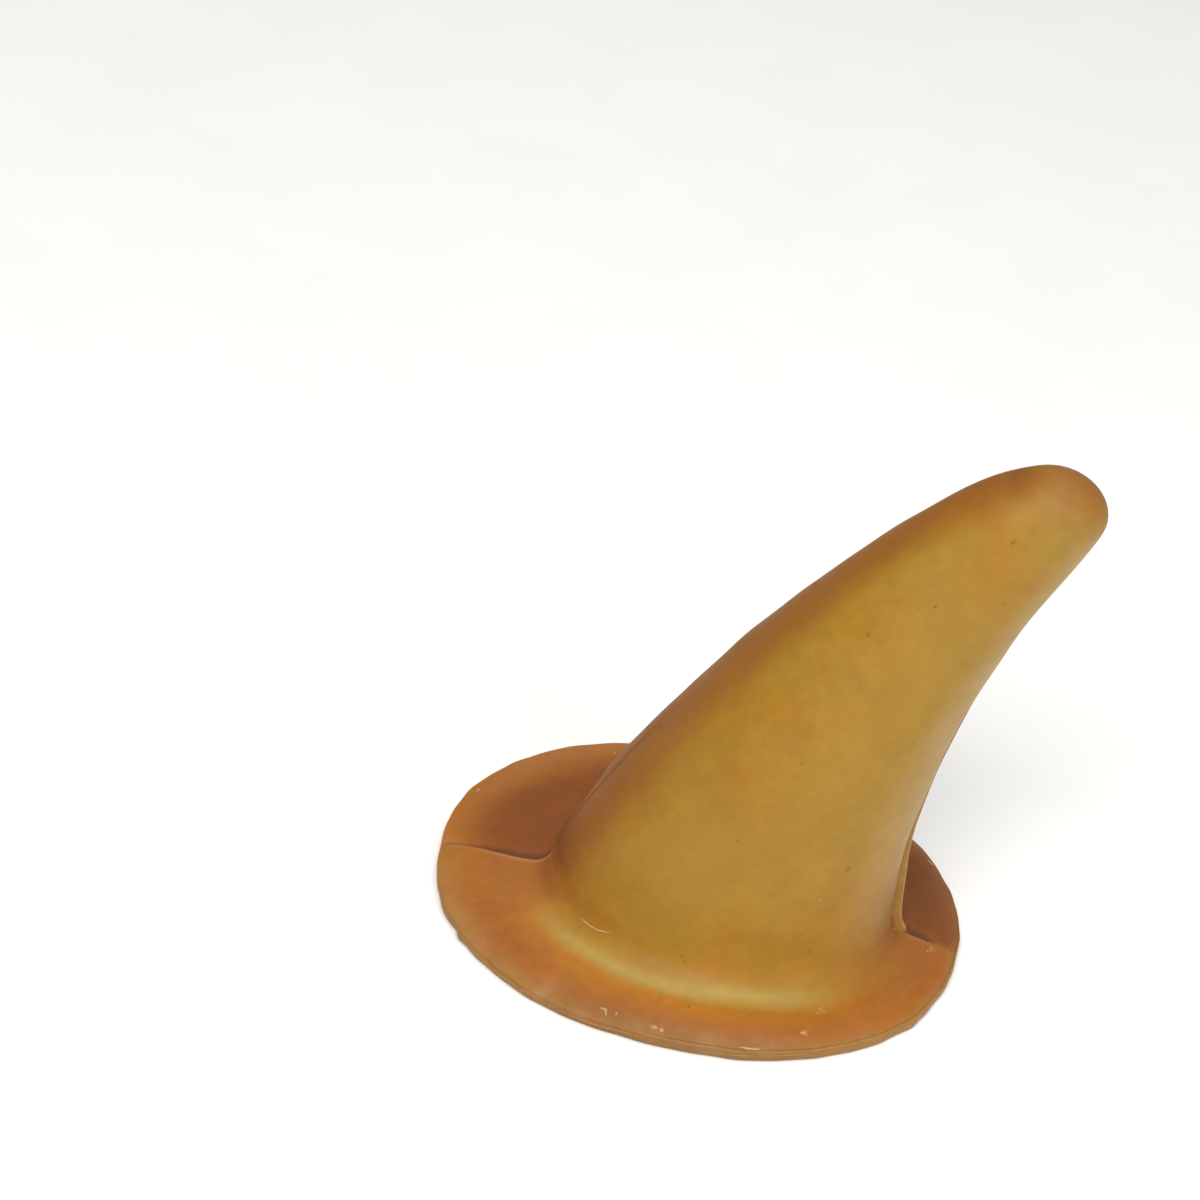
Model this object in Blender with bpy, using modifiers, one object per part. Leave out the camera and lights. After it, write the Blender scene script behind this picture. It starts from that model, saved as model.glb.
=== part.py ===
"""A moulded rubber costume ear: one hollow, curved, blunt-tipped ear that stands on a wide
oval flange, open underneath so that it slips over the wearer's own ear.

Metres, +Z up. X runs from the flange's heel to its toe, the way the ear leans, and Y across.
The mould parts along the middle plane, Y = 0. The flange's underside lies on Z = 0."""

from math import cos, pi, radians, sin

import bmesh
import bpy
import numpy as np

# the flange
FLANGE_LENGTH = 0.1038
FLANGE_WIDTH = 0.0895
WALL = 0.0030
BASE_TRIM = 0.0008  # taken off the underside, which leaves a flat land along the rim
HEEL_BRIM = 0.0225  # from the rim to the body, behind it and in front of it
TOE_BRIM = 0.0125
HEEL_RISE = 0.0046  # how far the brim climbs on the way to the body
TOE_RISE = 0.0032
BRIM_CROWN = 0.0008

# the body
ROOT_WIDTH = 0.0500
MIDDLE_WIDTH = 0.0385
TIP_WIDTH = 0.0190
TIP_SPREAD = 1.3  # the width that the body's sides set out for below the tip, over the tip's
TIP_LENGTH = 0.0238  # back edge to front edge, where the rounded tip starts
TIP_DEPTH = 0.0110  # how far the rounding stands past those edges
TIP_FORWARD = 0.0416  # the tip's centre, ahead of the middle of the root
TIP_HEIGHT = 0.1062
TIP_LEAN = 55.0  # degrees from the horizontal
SIDE_FILLET = 0.0080  # where body and brim meet, on the flanks and at the seam
SEAM_FILLET = 0.0030
SIDE_GRIP = 0.08  # how far up the body the fillet ends, as a share of the edges
SEAM_GRIP = 0.035

# the two edges in the middle plane: the way each leaves the brim and meets the tip, in
# degrees from the horizontal, and the pull of its ends as shares of its straight length
EDGE_COLUMNS = ("start", "end", "start_pull", "end_pull")
BACK_EDGE = dict(zip(EDGE_COLUMNS, (78.0, 44.0, 0.30, 0.12)))
FRONT_EDGE = dict(zip(EDGE_COLUMNS, (97.0, 57.0, 0.35, 0.27)))

# the mould's seam: a raised flash up the front edge, and a groove across the brim
FLASH_WIDTH = 0.0015
FLASH_PROUD = 0.0008
FLASH_END = 0.80  # share of the front edge where the flash fades out
GROOVE_WIDTH = 0.0030
GROOVE_DEPTH = 0.0011

COLUMNS = 48
BRIM_ROWS = 5
FILLET_ROWS = 6
BODY_ROWS = 15
TIP_ROWS = 5
FLASH_ROWS = 18

rim_height = WALL - BASE_TRIM
heel = np.array((HEEL_BRIM - FLANGE_LENGTH / 2, rim_height + HEEL_RISE))
toe = np.array((FLANGE_LENGTH / 2 - TOE_BRIM, rim_height + TOE_RISE))
tip_centre = np.array(((heel[0] + toe[0]) / 2 + TIP_FORWARD, TIP_HEIGHT))


def direction(degrees):
    return np.array((cos(radians(degrees)), sin(radians(degrees))))


def bezier(start, start_handle, end_handle, end, share):
    """Points on a cubic curve, one for each share of it."""
    t = np.asarray(share, float)[..., None]
    return (
        (1 - t) ** 3 * start
        + 3 * (1 - t) ** 2 * t * start_handle
        + 3 * (1 - t) * t**2 * end_handle
        + t**3 * end
    )


def edge(root, tip, shape, share):
    """The back or front edge of the body in the middle plane, from the brim to the tip."""
    length = np.linalg.norm(tip - root)
    start_handle = root + direction(shape["start"]) * shape["start_pull"] * length
    end_handle = tip - direction(shape["end"]) * shape["end_pull"] * length
    return bezier(root, start_handle, end_handle, tip, share)


def edges(share):
    across = direction(TIP_LEAN - 90) * TIP_LENGTH / 2
    back = edge(heel, tip_centre - across, BACK_EDGE, share)
    front = edge(toe, tip_centre + across, FRONT_EDGE, share)
    return back, front


def half_width(share):
    """Half the body's width, on a cubic through its root, middle and tip."""
    near_tip = TIP_SPREAD * TIP_WIDTH
    near_root = (8 * MIDDLE_WIDTH - ROOT_WIDTH - 3 * near_tip - TIP_WIDTH) / 3
    return bezier(ROOT_WIDTH, near_root, near_tip, TIP_WIDTH, share)[..., 0] / 2


def oval(centre, reach, width, angles):
    """A ring round a centre in the middle plane. Its long axis there is reach, a vector."""
    x = centre[..., 0] + reach[..., 0] * np.cos(angles)
    z = centre[..., 1] + reach[..., 1] * np.cos(angles)
    return np.stack((x, width * np.sin(angles), z), -1)


def body_ring(share, angles):
    share = np.broadcast_to(share, angles.shape)
    back, front = edges(share)
    return oval((back + front) / 2, (front - back) / 2, half_width(share), angles)


def unit(vectors):
    return vectors / np.linalg.norm(vectors, axis=-1, keepdims=True)


def skin_rings(angles):
    """The outer surface from the rim to the tip, as rings of points, with the angle 0 at the toe."""
    rim = oval(np.zeros(2), np.array((FLANGE_LENGTH / 2, 0)), FLANGE_WIDTH / 2, angles)
    rim[:, 2] = rim_height
    flank = np.abs(np.sin(angles))
    grip = SEAM_GRIP + (SIDE_GRIP - SEAM_GRIP) * flank
    fillet = SEAM_FILLET + (SIDE_FILLET - SEAM_FILLET) * flank
    root = body_ring(0.0, angles)
    above = body_ring(grip, angles)
    rising = unit(body_ring(grip + 0.02, angles) - above)
    outward = rim - root
    span = np.linalg.norm(outward[:, :2], axis=1)
    brim_end = root + outward * np.minimum(fillet / span, 0.6)[:, None]
    rings = [rim]
    for row in range(1, BRIM_ROWS + 1):
        share = row / BRIM_ROWS
        ring = rim + (brim_end - rim) * share
        ring[:, 2] += BRIM_CROWN * sin(pi * share)
        rings.append(ring)
    inward = unit(brim_end - rim)
    pull = 0.45 * np.linalg.norm(above - brim_end, axis=1)[:, None]
    for row in range(1, FILLET_ROWS + 1):
        share = np.full(len(angles), row / FILLET_ROWS)
        rings.append(bezier(brim_end, brim_end + inward * pull, above - rising * pull, above, share))
    for row in range(1, BODY_ROWS + 1):
        rings.append(body_ring(grip + (1 - grip) * row / BODY_ROWS, angles))
    back, front = edges(np.array(1.0))
    centre = (back + front) / 2
    for row in range(1, TIP_ROWS):
        turn = pi / 2 * row / TIP_ROWS
        here = centre + direction(TIP_LEAN) * TIP_DEPTH * sin(turn)
        rings.append(oval(here, (front - back) / 2 * cos(turn), half_width(1.0) * cos(turn), angles))
    return rings


def tip_point():
    x, z = tip_centre + direction(TIP_LEAN) * TIP_DEPTH
    return (x, 0, z)


def loft(name, rings, collection, start=None, end=None):
    """Rings of points joined by quads. An end is left open, or gets a point or a flat cap."""
    bm = bmesh.new()
    rows = [[bm.verts.new(point) for point in ring] for ring in rings]
    for low, high in zip(rows, rows[1:]):
        for i, vert in enumerate(low):
            j = (i + 1) % len(low)
            bm.faces.new((vert, low[j], high[j], high[i]))
    for row, cap in ((rows[0], start), (rows[-1], end)):
        if cap == "flat":
            bm.faces.new(row)
        elif cap is not None:
            point = bm.verts.new(cap)
            for i, vert in enumerate(row):
                bm.faces.new((vert, row[(i + 1) % len(row)], point))
    bmesh.ops.recalc_face_normals(bm, faces=bm.faces)
    mesh = bpy.data.meshes.new(name)
    bm.to_mesh(mesh)
    bm.free()
    obj = bpy.data.objects.new(name, mesh)
    collection.objects.link(obj)
    return obj


def sweep(name, path, section_at, collection):
    """A closed strip along a path in the middle plane. section_at(share) gives its points as
    (across, out). Out is the left-hand side of the path, which is away from the rubber."""
    along = unit(np.gradient(path, axis=0))
    out = np.stack((-along[:, 1], along[:, 0]), -1)
    rings = []
    for i, share in enumerate(np.linspace(0, 1, len(path))):
        ring = []
        for across, height in section_at(share):
            x, z = path[i] + out[i] * height
            ring.append((x, across, z))
        rings.append(ring)
    return loft(name, rings, collection, "flat", "flat")


def flash_section(share):
    """A blunt ridge on a foot that stays inside the wall. It fades in over its first quarter."""
    proud = FLASH_PROUD * min(1.0, 4 * share)
    half = FLASH_WIDTH / 2
    foot = -WALL / 2
    return (
        (-half, foot),
        (half, foot),
        (half, 0.4 * proud),
        (half / 2, proud),
        (-half / 2, proud),
        (-half, 0.4 * proud),
    )


def groove_section(share):
    """A V that widens and deepens along the path, and opens above the surface."""
    size = 0.25 + 0.75 * share
    above = 0.5 * GROOVE_DEPTH * size
    half = 0.75 * GROOVE_WIDTH * size
    return ((0, -GROOVE_DEPTH * size), (half, above), (-half, above))


def toe_groove_section(share):
    return groove_section(1 - share)


def front_path():
    """The front edge in the middle plane, from where the flash ends down to the toe's fillet."""
    return edges(np.linspace(FLASH_END, SEAM_GRIP, FLASH_ROWS))[1]


def brim_path(angle):
    """The brim in the middle plane, from outside the rim to the fillet."""
    rings = skin_rings(np.array([angle]))[: BRIM_ROWS + 2]
    points = np.array([ring[0, [0, 2]] for ring in rings])
    outside = points[0] + 0.5 * (points[0] - points[1])
    return np.vstack((outside, points))


def add_boolean(obj, other, operation):
    modifier = obj.modifiers.new(other.name, "BOOLEAN")
    modifier.object = other
    modifier.operation = operation
    modifier.solver = "EXACT"


def make_rubber():
    material = bpy.data.materials.new("amber_rubber")
    material.use_nodes = True
    shader = material.node_tree.nodes["Principled BSDF"]
    shader.inputs["Base Color"].default_value = (0.42, 0.21, 0.05, 1)
    shader.inputs["Roughness"].default_value = 0.45
    shader.inputs["Metallic"].default_value = 0.0
    return material


def make_base_cutter(collection):
    """A block whose top is Z = 0. It planes the underside of the flange flat."""
    depth = 4 * WALL
    bpy.ops.mesh.primitive_cube_add(size=1)
    block = bpy.context.object
    block.name = "base_cutter"
    block.scale = (1.5 * FLANGE_LENGTH, 1.5 * FLANGE_WIDTH, depth)
    block.location = (0, 0, -depth / 2)
    for owner in block.users_collection:
        owner.objects.unlink(block)
    collection.objects.link(block)
    return block


def make_ear(parts, helpers):
    angles = np.arange(COLUMNS) * 2 * pi / COLUMNS
    ear = loft("rubber_ear", skin_rings(angles), parts, end=tip_point())
    wall = ear.modifiers.new("wall", "SOLIDIFY")
    wall.thickness = WALL
    wall.offset = -1
    wall.use_even_offset = True
    wall.use_quality_normals = True
    flash = sweep("seam_flash", front_path(), flash_section, helpers)
    heel_groove = sweep("heel_groove", brim_path(pi), groove_section, helpers)
    toe_groove = sweep("toe_groove", brim_path(0.0)[::-1], toe_groove_section, helpers)
    add_boolean(ear, flash, "UNION")
    add_boolean(ear, heel_groove, "DIFFERENCE")
    add_boolean(ear, toe_groove, "DIFFERENCE")
    add_boolean(ear, make_base_cutter(helpers), "DIFFERENCE")
    ear.data.materials.append(make_rubber())
    ear.data.shade_smooth()
    return ear


def centre_over_origin(ear, objects):
    """Moves everything together, so that the middle of the ear's box is over the origin."""
    bpy.context.view_layer.update()
    corners = [corner[0] for corner in ear.bound_box]
    ear_place = bpy.data.objects.new("ear_place", None)
    ear.users_collection[0].objects.link(ear_place)
    for obj in objects:
        obj.parent = ear_place
    ear_place.location.x = -(min(corners) + max(corners)) / 2


def main():
    for obj in list(bpy.data.objects):
        bpy.data.objects.remove(obj, do_unlink=True)
    parts = bpy.data.collections.new("rubber_ear")
    helpers = bpy.data.collections.new("cutters")
    for collection in (parts, helpers):
        bpy.context.scene.collection.children.link(collection)
    ear = make_ear(parts, helpers)
    for helper in helpers.objects:
        helper.hide_render = True
        helper.display_type = "WIRE"
    centre_over_origin(ear, [ear, *helpers.objects])


main()
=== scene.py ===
from math import cos, pi, radians, sin

import bpy
import numpy as np
from mathutils import Matrix, Vector


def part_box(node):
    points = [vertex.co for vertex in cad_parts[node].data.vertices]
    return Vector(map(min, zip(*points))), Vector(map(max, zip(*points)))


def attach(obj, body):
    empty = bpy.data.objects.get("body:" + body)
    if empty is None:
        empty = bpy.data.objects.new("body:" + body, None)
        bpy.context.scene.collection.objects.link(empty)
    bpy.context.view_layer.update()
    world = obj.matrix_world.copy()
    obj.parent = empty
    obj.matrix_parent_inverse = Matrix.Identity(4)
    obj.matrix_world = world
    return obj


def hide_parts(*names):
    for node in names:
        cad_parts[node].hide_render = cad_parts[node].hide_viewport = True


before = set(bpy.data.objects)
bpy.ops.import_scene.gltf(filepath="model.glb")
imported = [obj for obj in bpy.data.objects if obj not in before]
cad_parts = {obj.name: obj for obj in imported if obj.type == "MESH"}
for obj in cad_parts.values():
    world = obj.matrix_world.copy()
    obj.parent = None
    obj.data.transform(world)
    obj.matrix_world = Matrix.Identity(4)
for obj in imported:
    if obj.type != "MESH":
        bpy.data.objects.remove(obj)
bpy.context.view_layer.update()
mm = 0.001

# The moulded ear. Lengths in millimetres, directions in degrees from the horizontal.
ear = {
    "flangeLength": 103.8,
    "flangeWidth": 89.5,
    "flangeSquareness": 2.15,  # 2 is an ellipse
    "wall": 3.0,
    "rimHeight": 2.2,
    "heelBrim": 22.5,
    "toeBrim": 12.5,
    "heelRise": 4.6,
    "toeRise": 3.2,
    "brimCrown": 0.8,
    "brimAside": 2.1,  # the flange sits this far off the seam, away from the camera
    "rootWidth": 50.0,
    "middleWidth": 38.5,
    "tipWidth": 19.0,
    "tipSpread": 1.3,
    "tipLength": 23.8,
    "tipDepth": 11.0,
    "tipForward": 41.6,
    "tipHeight": 106.2,
    "tipLean": 55.0,
    "sideFillet": 8.0,
    "seamFillet": 3.0,
    "sideGrip": 0.08,
    "seamGrip": 0.035,
    "backEdge": {"start": 78.0, "end": 44.0, "startPull": 0.30, "endPull": 0.12},
    "frontEdge": {"start": 97.0, "end": 57.0, "startPull": 0.35, "endPull": 0.27},
    "unevenness": 0.16,  # the slow waves of hand-poured rubber
    "columns": 320,
    "outerRows": {"brimFrom": 0.045, "brim": 28, "fillet": 20, "body": 112, "tip": 24},
    "innerRows": {"brimFrom": 0.10, "brim": 14, "fillet": 8, "body": 39, "tip": 11},
}

# Heights on the ear are given as a climb: 0 rim, 1 brim's end, 2 fillet's end, 3 where the tip
# starts to round, 4 its end. Angles are in degrees from the toe, 180 at the heel, 270 nearest.

# Swells of the form as (where, spread, height in millimetres): the two edges by their climb,
# the tip by the way it faces, in degrees up from the toe's direction.
swells = {
    "back": ((2.62, 0.22, 0.45), (2.22, 0.16, -0.45)),
    "front": ((2.70, 0.15, 0.35), (2.18, 0.20, -0.55)),
    "tip": ((34, 30, 1.0), (-25, 26, -0.9), (104, 40, -2.0)),
}
# The rings about the tip's start are evened out: passes, climb, spread.
evening = {"form": (60, 3.03, 0.16), "relief": (100, 3.12, 0.20)}
# Beside the front flash the edge steps back, and a crease runs on its near side, painted dark as shade.
frontStep = {"depth": 0.9, "creaseAt": -1.7, "creaseSpread": 0.9, "creaseDepth": 0.25, "paintedShade": 0.52}

# The hand-trimmed rim, in millimetres. Its section is (inset, height) from the land's outer edge
# up the side wall and over a parting crease to the lip. Its notches are (angle, spread, how far out).
rimShape = {
    "section": (
        (0.95, 0.0), (0.62, 0.0), (0.34, 0.06), (0.14, 0.24), (0.04, 0.55),
        (0.0, 0.95), (0.0, 1.40), (0.02, 1.66), (0.03, 1.78), (0.04, 1.88),
        (0.03, 1.97), (0.04, 2.06), (0.10, 2.20), (0.30, 2.31), (0.56, 2.385),
    ),
    "crease": 1.88,
    "creaseShare": 0.0032,  # its depth, as a share of the rim's radius
    "creaseSwing": 0.16,
    "bulgeShare": 0.0012,
    "notches": ((215, 1.5, 0.45), (211.5, 1.8, -0.30), (329, 2.5, 0.25)),
}

# The step where the two halves of the mould met on the brim, in millimetres.
mouldStep = {
    # the sag is how far the step bends towards the camera before it meets the body
    # paintedShade is how strongly the step is painted dark, as shade
    "heel": {"depth": 0.70, "sag": 3.2, "lipShare": 1.0, "paintedShade": 1.0},
    "toe": {"depth": 0.40, "sag": 0.9, "lipShare": 0.35, "paintedShade": 0.88},
    "nearWall": 0.38,  # the steep side, towards the camera
    "farSlope": 1.8,
    "lip": 0.20,
    "lipWidth": 0.42,
    "lipAt": -0.95,
}


def direction(degrees):
    return np.array((cos(radians(degrees)), sin(radians(degrees))))


def unit(vectors):
    return vectors / np.maximum(np.linalg.norm(vectors, axis=-1, keepdims=True), 1e-12)


def smooth(low, high, value):
    share = np.clip((value - low) / (high - low), 0, 1)
    return share * share * (3 - 2 * share)


def bezier(start, startHandle, endHandle, end, share):
    t = np.asarray(share, float)[..., None]
    return (
        (1 - t) ** 3 * start
        + 3 * (1 - t) ** 2 * t * startHandle
        + 3 * (1 - t) * t**2 * endHandle
        + t**3 * end
    )


heelRoot = np.array((ear["heelBrim"] - ear["flangeLength"] / 2, ear["rimHeight"] + ear["heelRise"]))
toeRoot = np.array((ear["flangeLength"] / 2 - ear["toeBrim"], ear["rimHeight"] + ear["toeRise"]))
tipCentre = np.array(((heelRoot[0] + toeRoot[0]) / 2 + ear["tipForward"], ear["tipHeight"]))


def profileEdge(root, tip, shape, share):
    length = np.linalg.norm(tip - root)
    startHandle = root + direction(shape["start"]) * shape["startPull"] * length
    endHandle = tip - direction(shape["end"]) * shape["endPull"] * length
    return bezier(root, startHandle, endHandle, tip, share)


def bothEdges(share):
    across = direction(ear["tipLean"] - 90) * ear["tipLength"] / 2
    back = profileEdge(heelRoot, tipCentre - across, ear["backEdge"], share)
    front = profileEdge(toeRoot, tipCentre + across, ear["frontEdge"], share)
    return back, front


def halfWidth(share):
    nearTip = ear["tipSpread"] * ear["tipWidth"]
    nearRoot = (8 * ear["middleWidth"] - ear["rootWidth"] - 3 * nearTip - ear["tipWidth"]) / 3
    return bezier(ear["rootWidth"], nearRoot, nearTip, ear["tipWidth"], share)[..., 0] / 2


def oval(centre, reach, width, angles):
    x = centre[..., 0] + reach[..., 0] * np.cos(angles)
    z = centre[..., 1] + reach[..., 1] * np.cos(angles)
    return np.stack((x, width * np.sin(angles), z), -1)


def hump(value, centre, spread):
    return np.exp(-(((value - centre) / spread) ** 2))


def swell(bumps, value):
    return sum(height * hump(value, centre, spread) for centre, spread, height in bumps)


def trimWave(angles):
    # how far the hand-trimmed rim strays outwards, in millimetres
    wave = 0.11 * np.sin(9 * angles + 1.0) + 0.07 * np.sin(23 * angles + 0.5)
    wave += 0.05 * np.sin(41 * angles)
    return wave + swell(rimShape["notches"], np.degrees(angles) % 360)


def rimOval(inset, height, angles):
    # the flange's outline, a little squarer than an ellipse
    inset = inset - trimWave(angles)
    power = 2 / ear["flangeSquareness"]
    x = (ear["flangeLength"] / 2 - inset) * np.sign(np.cos(angles)) * np.abs(np.cos(angles)) ** power
    y = (ear["flangeWidth"] / 2 - inset) * np.sign(np.sin(angles)) * np.abs(np.sin(angles)) ** power
    return np.stack((x, y, np.full_like(x, height)), -1)


def bodyRing(share, angles):
    share = np.broadcast_to(share, angles.shape)
    back, front = bothEdges(share)
    return oval((back + front) / 2, (front - back) / 2, halfWidth(share), angles)


def columnAngles(count):
    # Columns crowd towards the seam at heel and toe, where the fine relief is.
    even = np.arange(count) * 2 * pi / count
    return even - 0.7 * np.sin(2 * even) / 2


def earRows(angles, rows):
    # Rings of the smooth outer form, and the climb of each.
    rim = rimOval(0, ear["rimHeight"], angles)
    flank = np.abs(np.sin(angles))
    grip = ear["seamGrip"] + (ear["sideGrip"] - ear["seamGrip"]) * flank
    fillet = ear["seamFillet"] + (ear["sideFillet"] - ear["seamFillet"]) * flank
    root = bodyRing(0.0, angles)
    above = bodyRing(grip, angles)
    rising = unit(bodyRing(grip + 0.02, angles) - above)
    outward = rim - root
    span = np.linalg.norm(outward[:, :2], axis=1)
    brimEnd = root + outward * np.minimum(fillet / span, 0.6)[:, None]
    inward = unit(brimEnd - rim)
    pull = 0.45 * np.linalg.norm(above - brimEnd, axis=1)[:, None]
    parts = ("fillet", "body", "tip")
    filletShares, bodyShares, tipTurns = (np.linspace(0, 1, rows[part] + 1)[1:] for part in parts)
    rings = []
    climb = []
    for share in np.linspace(rows["brimFrom"], 1, rows["brim"]):
        ring = rim + (brimEnd - rim) * share
        ring[:, 2] += ear["brimCrown"] * sin(pi * share)
        rings.append(ring)
        climb.append(share)
    for share in filletShares:
        shares = np.full(len(angles), share)
        rings.append(bezier(brimEnd, brimEnd + inward * pull, above - rising * pull, above, shares))
        climb.append(1 + share)
    for share in bodyShares:
        rings.append(bodyRing(grip + (1 - grip) * share, angles))
        climb.append(2 + share)
    back, front = bothEdges(np.array(1.0))
    centre = (back + front) / 2
    for turn in tipTurns[:-1]:
        here = centre + direction(ear["tipLean"]) * ear["tipDepth"] * sin(turn * pi / 2)
        closing = cos(turn * pi / 2)
        rings.append(oval(here, (front - back) / 2 * closing, halfWidth(1.0) * closing, angles))
        climb.append(3 + turn)
    return np.array(rings), np.array(climb)


def outwardNormals(grid):
    alongRows = np.gradient(grid, axis=0)
    alongColumns = np.roll(grid, -1, axis=1) - np.roll(grid, 1, axis=1)
    return unit(np.cross(alongColumns, alongRows))


def slowWaves(points):
    x, y, z = points[..., 0], points[..., 1], points[..., 2]
    return (
        np.sin(0.145 * x + 0.21 * y + 0.4) * np.sin(0.11 * z + 0.6)
        + 0.6 * np.sin(0.27 * y - 0.19 * x + 2.1) * np.sin(0.17 * z + 0.13 * x)
        + 0.4 * np.sin(0.41 * x + 1.7) * np.sin(0.37 * y + 0.29 * z)
    )


def stepProfile(side, size):
    # side is the distance past the seam, positive on the far half, which lies lower
    near = -np.exp(-((side / (mouldStep["nearWall"] * (0.6 + 0.6 * size))) ** 2))
    far = -np.exp(-((side / (mouldStep["farSlope"] * (0.35 + 0.75 * size))) ** 2))
    lip = mouldStep["lip"] * np.exp(-(((side - mouldStep["lipAt"]) / mouldStep["lipWidth"]) ** 2))
    return np.where(side < 0, near, far), lip


def asideShift(climb):
    return ear["brimAside"] * (1 - smooth(0.0, 1.0, climb))


def softened(grid, passes, at, spread):
    # evens the rings out along the climb, about one height
    grid = grid.copy()
    share = 0.8 * hump(climb[1:-1, :, None], at, spread)
    for turn in range(passes):
        grid[1:-1] += share * ((grid[:-2] + grid[2:]) / 2 - grid[1:-1])
    return grid


print("loft: the ear's outer form")
angles = columnAngles(ear["columns"])
smoothGrid, climbRows = earRows(angles, ear["outerRows"])
rowCount = len(climbRows)
columnCount = ear["columns"]
climb = np.repeat(climbRows[:, None], columnCount, axis=1)
cosine = np.repeat(np.cos(angles)[None, :], rowCount, axis=0)
sine = np.repeat(np.sin(angles)[None, :], rowCount, axis=0)
smoothGrid[..., 1] += asideShift(climb)
smoothGrid = softened(smoothGrid, *evening["form"])
normals = outwardNormals(smoothGrid)


def backward(climb):
    # the way the body's back faces, in the middle plane
    low, high = bothEdges(np.clip(climb - 2.0, 0, 1)), bothEdges(np.clip(climb - 1.96, 0.04, 1.0))
    rising = unit((high[0] + high[1]) - (low[0] + low[1]) + 1e-9)
    toTip = smooth(2.7, 3.0, climb)[..., None]
    rising = unit(rising * (1 - toTip) + direction(ear["tipLean"]) * toTip)
    return np.stack((-rising[..., 1], 0 * climb, rising[..., 0]), -1)


onBody = smooth(1.2, 2.1, climb)
spine = -cosine * (1 - onBody) + (normals * backward(climb)).sum(-1) * onBody

# relief: slow waves all over, swells along the two edges, and a tip that is blunter to the front
relief = ear["unevenness"] * slowWaves(smoothGrid) * smooth(0.0, 0.5, climb)
relief += onBody * np.clip(spine, 0, 1) ** 2 * swell(swells["back"], climb)
relief += onBody * np.clip(-spine, 0, 1) ** 2 * swell(swells["front"], climb)
facing = np.degrees(np.arctan2(normals[..., 2], normals[..., 0]))
onTip = np.hypot(normals[..., 0], normals[..., 2]) ** 2 * smooth(2.80, 3.20, climb)
relief += onTip * swell(swells["tip"], facing)
beside = smooth(0.80, 0.97, -spine) * smooth(1.15, 1.5, climb) * (1 - smooth(2.05, 2.5, climb))
relief -= frontStep["depth"] * beside

# the mould's step across the brim, at the heel and at the toe
groove = np.zeros_like(climb)
lipLight = np.zeros_like(climb)
pastSeam = np.zeros_like(climb)
for end, facingWay in (("heel", -cosine), ("toe", cosine)):
    step = mouldStep[end]
    here = smooth(0.55, 0.85, facingWay)
    if end == "heel":
        size = 0.42 + 0.58 * smooth(0.0, 0.85, climb)
        fade = 1 - smooth(1.15, 1.9, climb)
        wander = -step["sag"] * smooth(0.05, 0.9, climb) * (1 - smooth(1.0, 1.9, climb))
    else:
        size = 0.25 + 0.75 * smooth(0.15, 0.9, climb)
        fade = 1 - smooth(1.1, 1.6, climb)
        wander = -step["sag"] * np.sin(pi * np.clip(climb, 0, 1))
    side = smoothGrid[..., 1] - wander
    pastSeam = np.where(facingWay > 0, side, pastSeam)
    cut, lip = stepProfile(side, size)
    lip = step["lipShare"] * lip
    relief += step["depth"] * here * fade * size * cut + here * fade * size * lip
    # the step is also painted dark, as shade
    groove += step["paintedShade"] * here * fade * size * -cut
    lipLight += here * fade * size * lip / mouldStep["lip"]
crease = hump(smoothGrid[..., 1], frontStep["creaseAt"], frontStep["creaseSpread"])
crease *= smooth(0.6, 0.8, -spine)
crease *= smooth(1.35, 1.6, climb) * (1 - smooth(2.1, 2.5, climb))
relief -= frontStep["creaseDepth"] * crease
# the front crease is painted dark too, as shade
groove += frontStep["paintedShade"] * crease
outerGrid = softened(smoothGrid + normals * relief[..., None], *evening["relief"])


# colour masks that follow the form: a painted highlight along the near fillet, and the duller
# rubber near the seam
turned = np.degrees(np.repeat(angles[None, :], rowCount, axis=0))
bandAt = 0.97 + 0.06 * smooth(225, 245, turned) + 0.17 * smooth(245, 285, turned)
filletHighlight = hump(climb, bandAt, 0.14) * smooth(205, 234, turned) * (1 - smooth(288, 316, turned))
filletHighlight += 0.35 * hump(climb, 1.15, 0.16) * smooth(20, 60, turned) * (1 - smooth(120, 150, turned))
nearSeam = np.maximum(smooth(294, 352, turned), smooth(228, 196, turned) * (turned > 180))
nearSeam *= smooth(0.25, 0.7, climb) * (1 - smooth(2.05, 2.45, climb))


def pastBorder(distance, climb):
    # past the seam the brim is browner, partly a stain and partly painted shade, with a border that
    # blurs towards the rim
    blur = 1.0 + 9.0 * (1 - smooth(0.0, 0.22, climb))
    return smooth(0.4 - blur, 0.4 + blur, distance)


beyond = pastBorder(pastSeam, climb)

# warm stains in the body's colour: (angle, climb, radius in millimetres, strength)
warmStains = (
    (216, 2.38, 8.0, 0.6),
    (272, 1.72, 5.5, 0.7),
    (222, 2.62, 9.0, 0.4),
    (262, 2.86, 7.0, 0.7),
    (230, 2.97, 7.0, 0.7),
    (246, 2.93, 7.0, 0.6),
    (296, 1.95, 8.0, 0.5),
    (250, 2.30, 10.0, 0.6),
    (236, 2.42, 6.0, 0.7),
    (247, 0.35, 9.0, 0.5),
    (322, 0.62, 7.0, 0.8),
    (300, 0.55, 5.0, 0.5),
    (120, 2.40, 9.0, 0.7),
    (80, 2.10, 8.0, 0.6),
    (100, 2.75, 7.0, 0.6),
)
warmth = np.zeros_like(climb)
for angle, up, radius, strength in warmStains:
    row = np.abs(climbRows - up).argmin()
    column = np.abs(np.degrees(angles) - angle).argmin()
    away = np.linalg.norm(outerGrid - outerGrid[row, column], axis=-1)
    warmth = np.maximum(warmth, strength * np.exp(-((away / radius) ** 2)))


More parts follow.
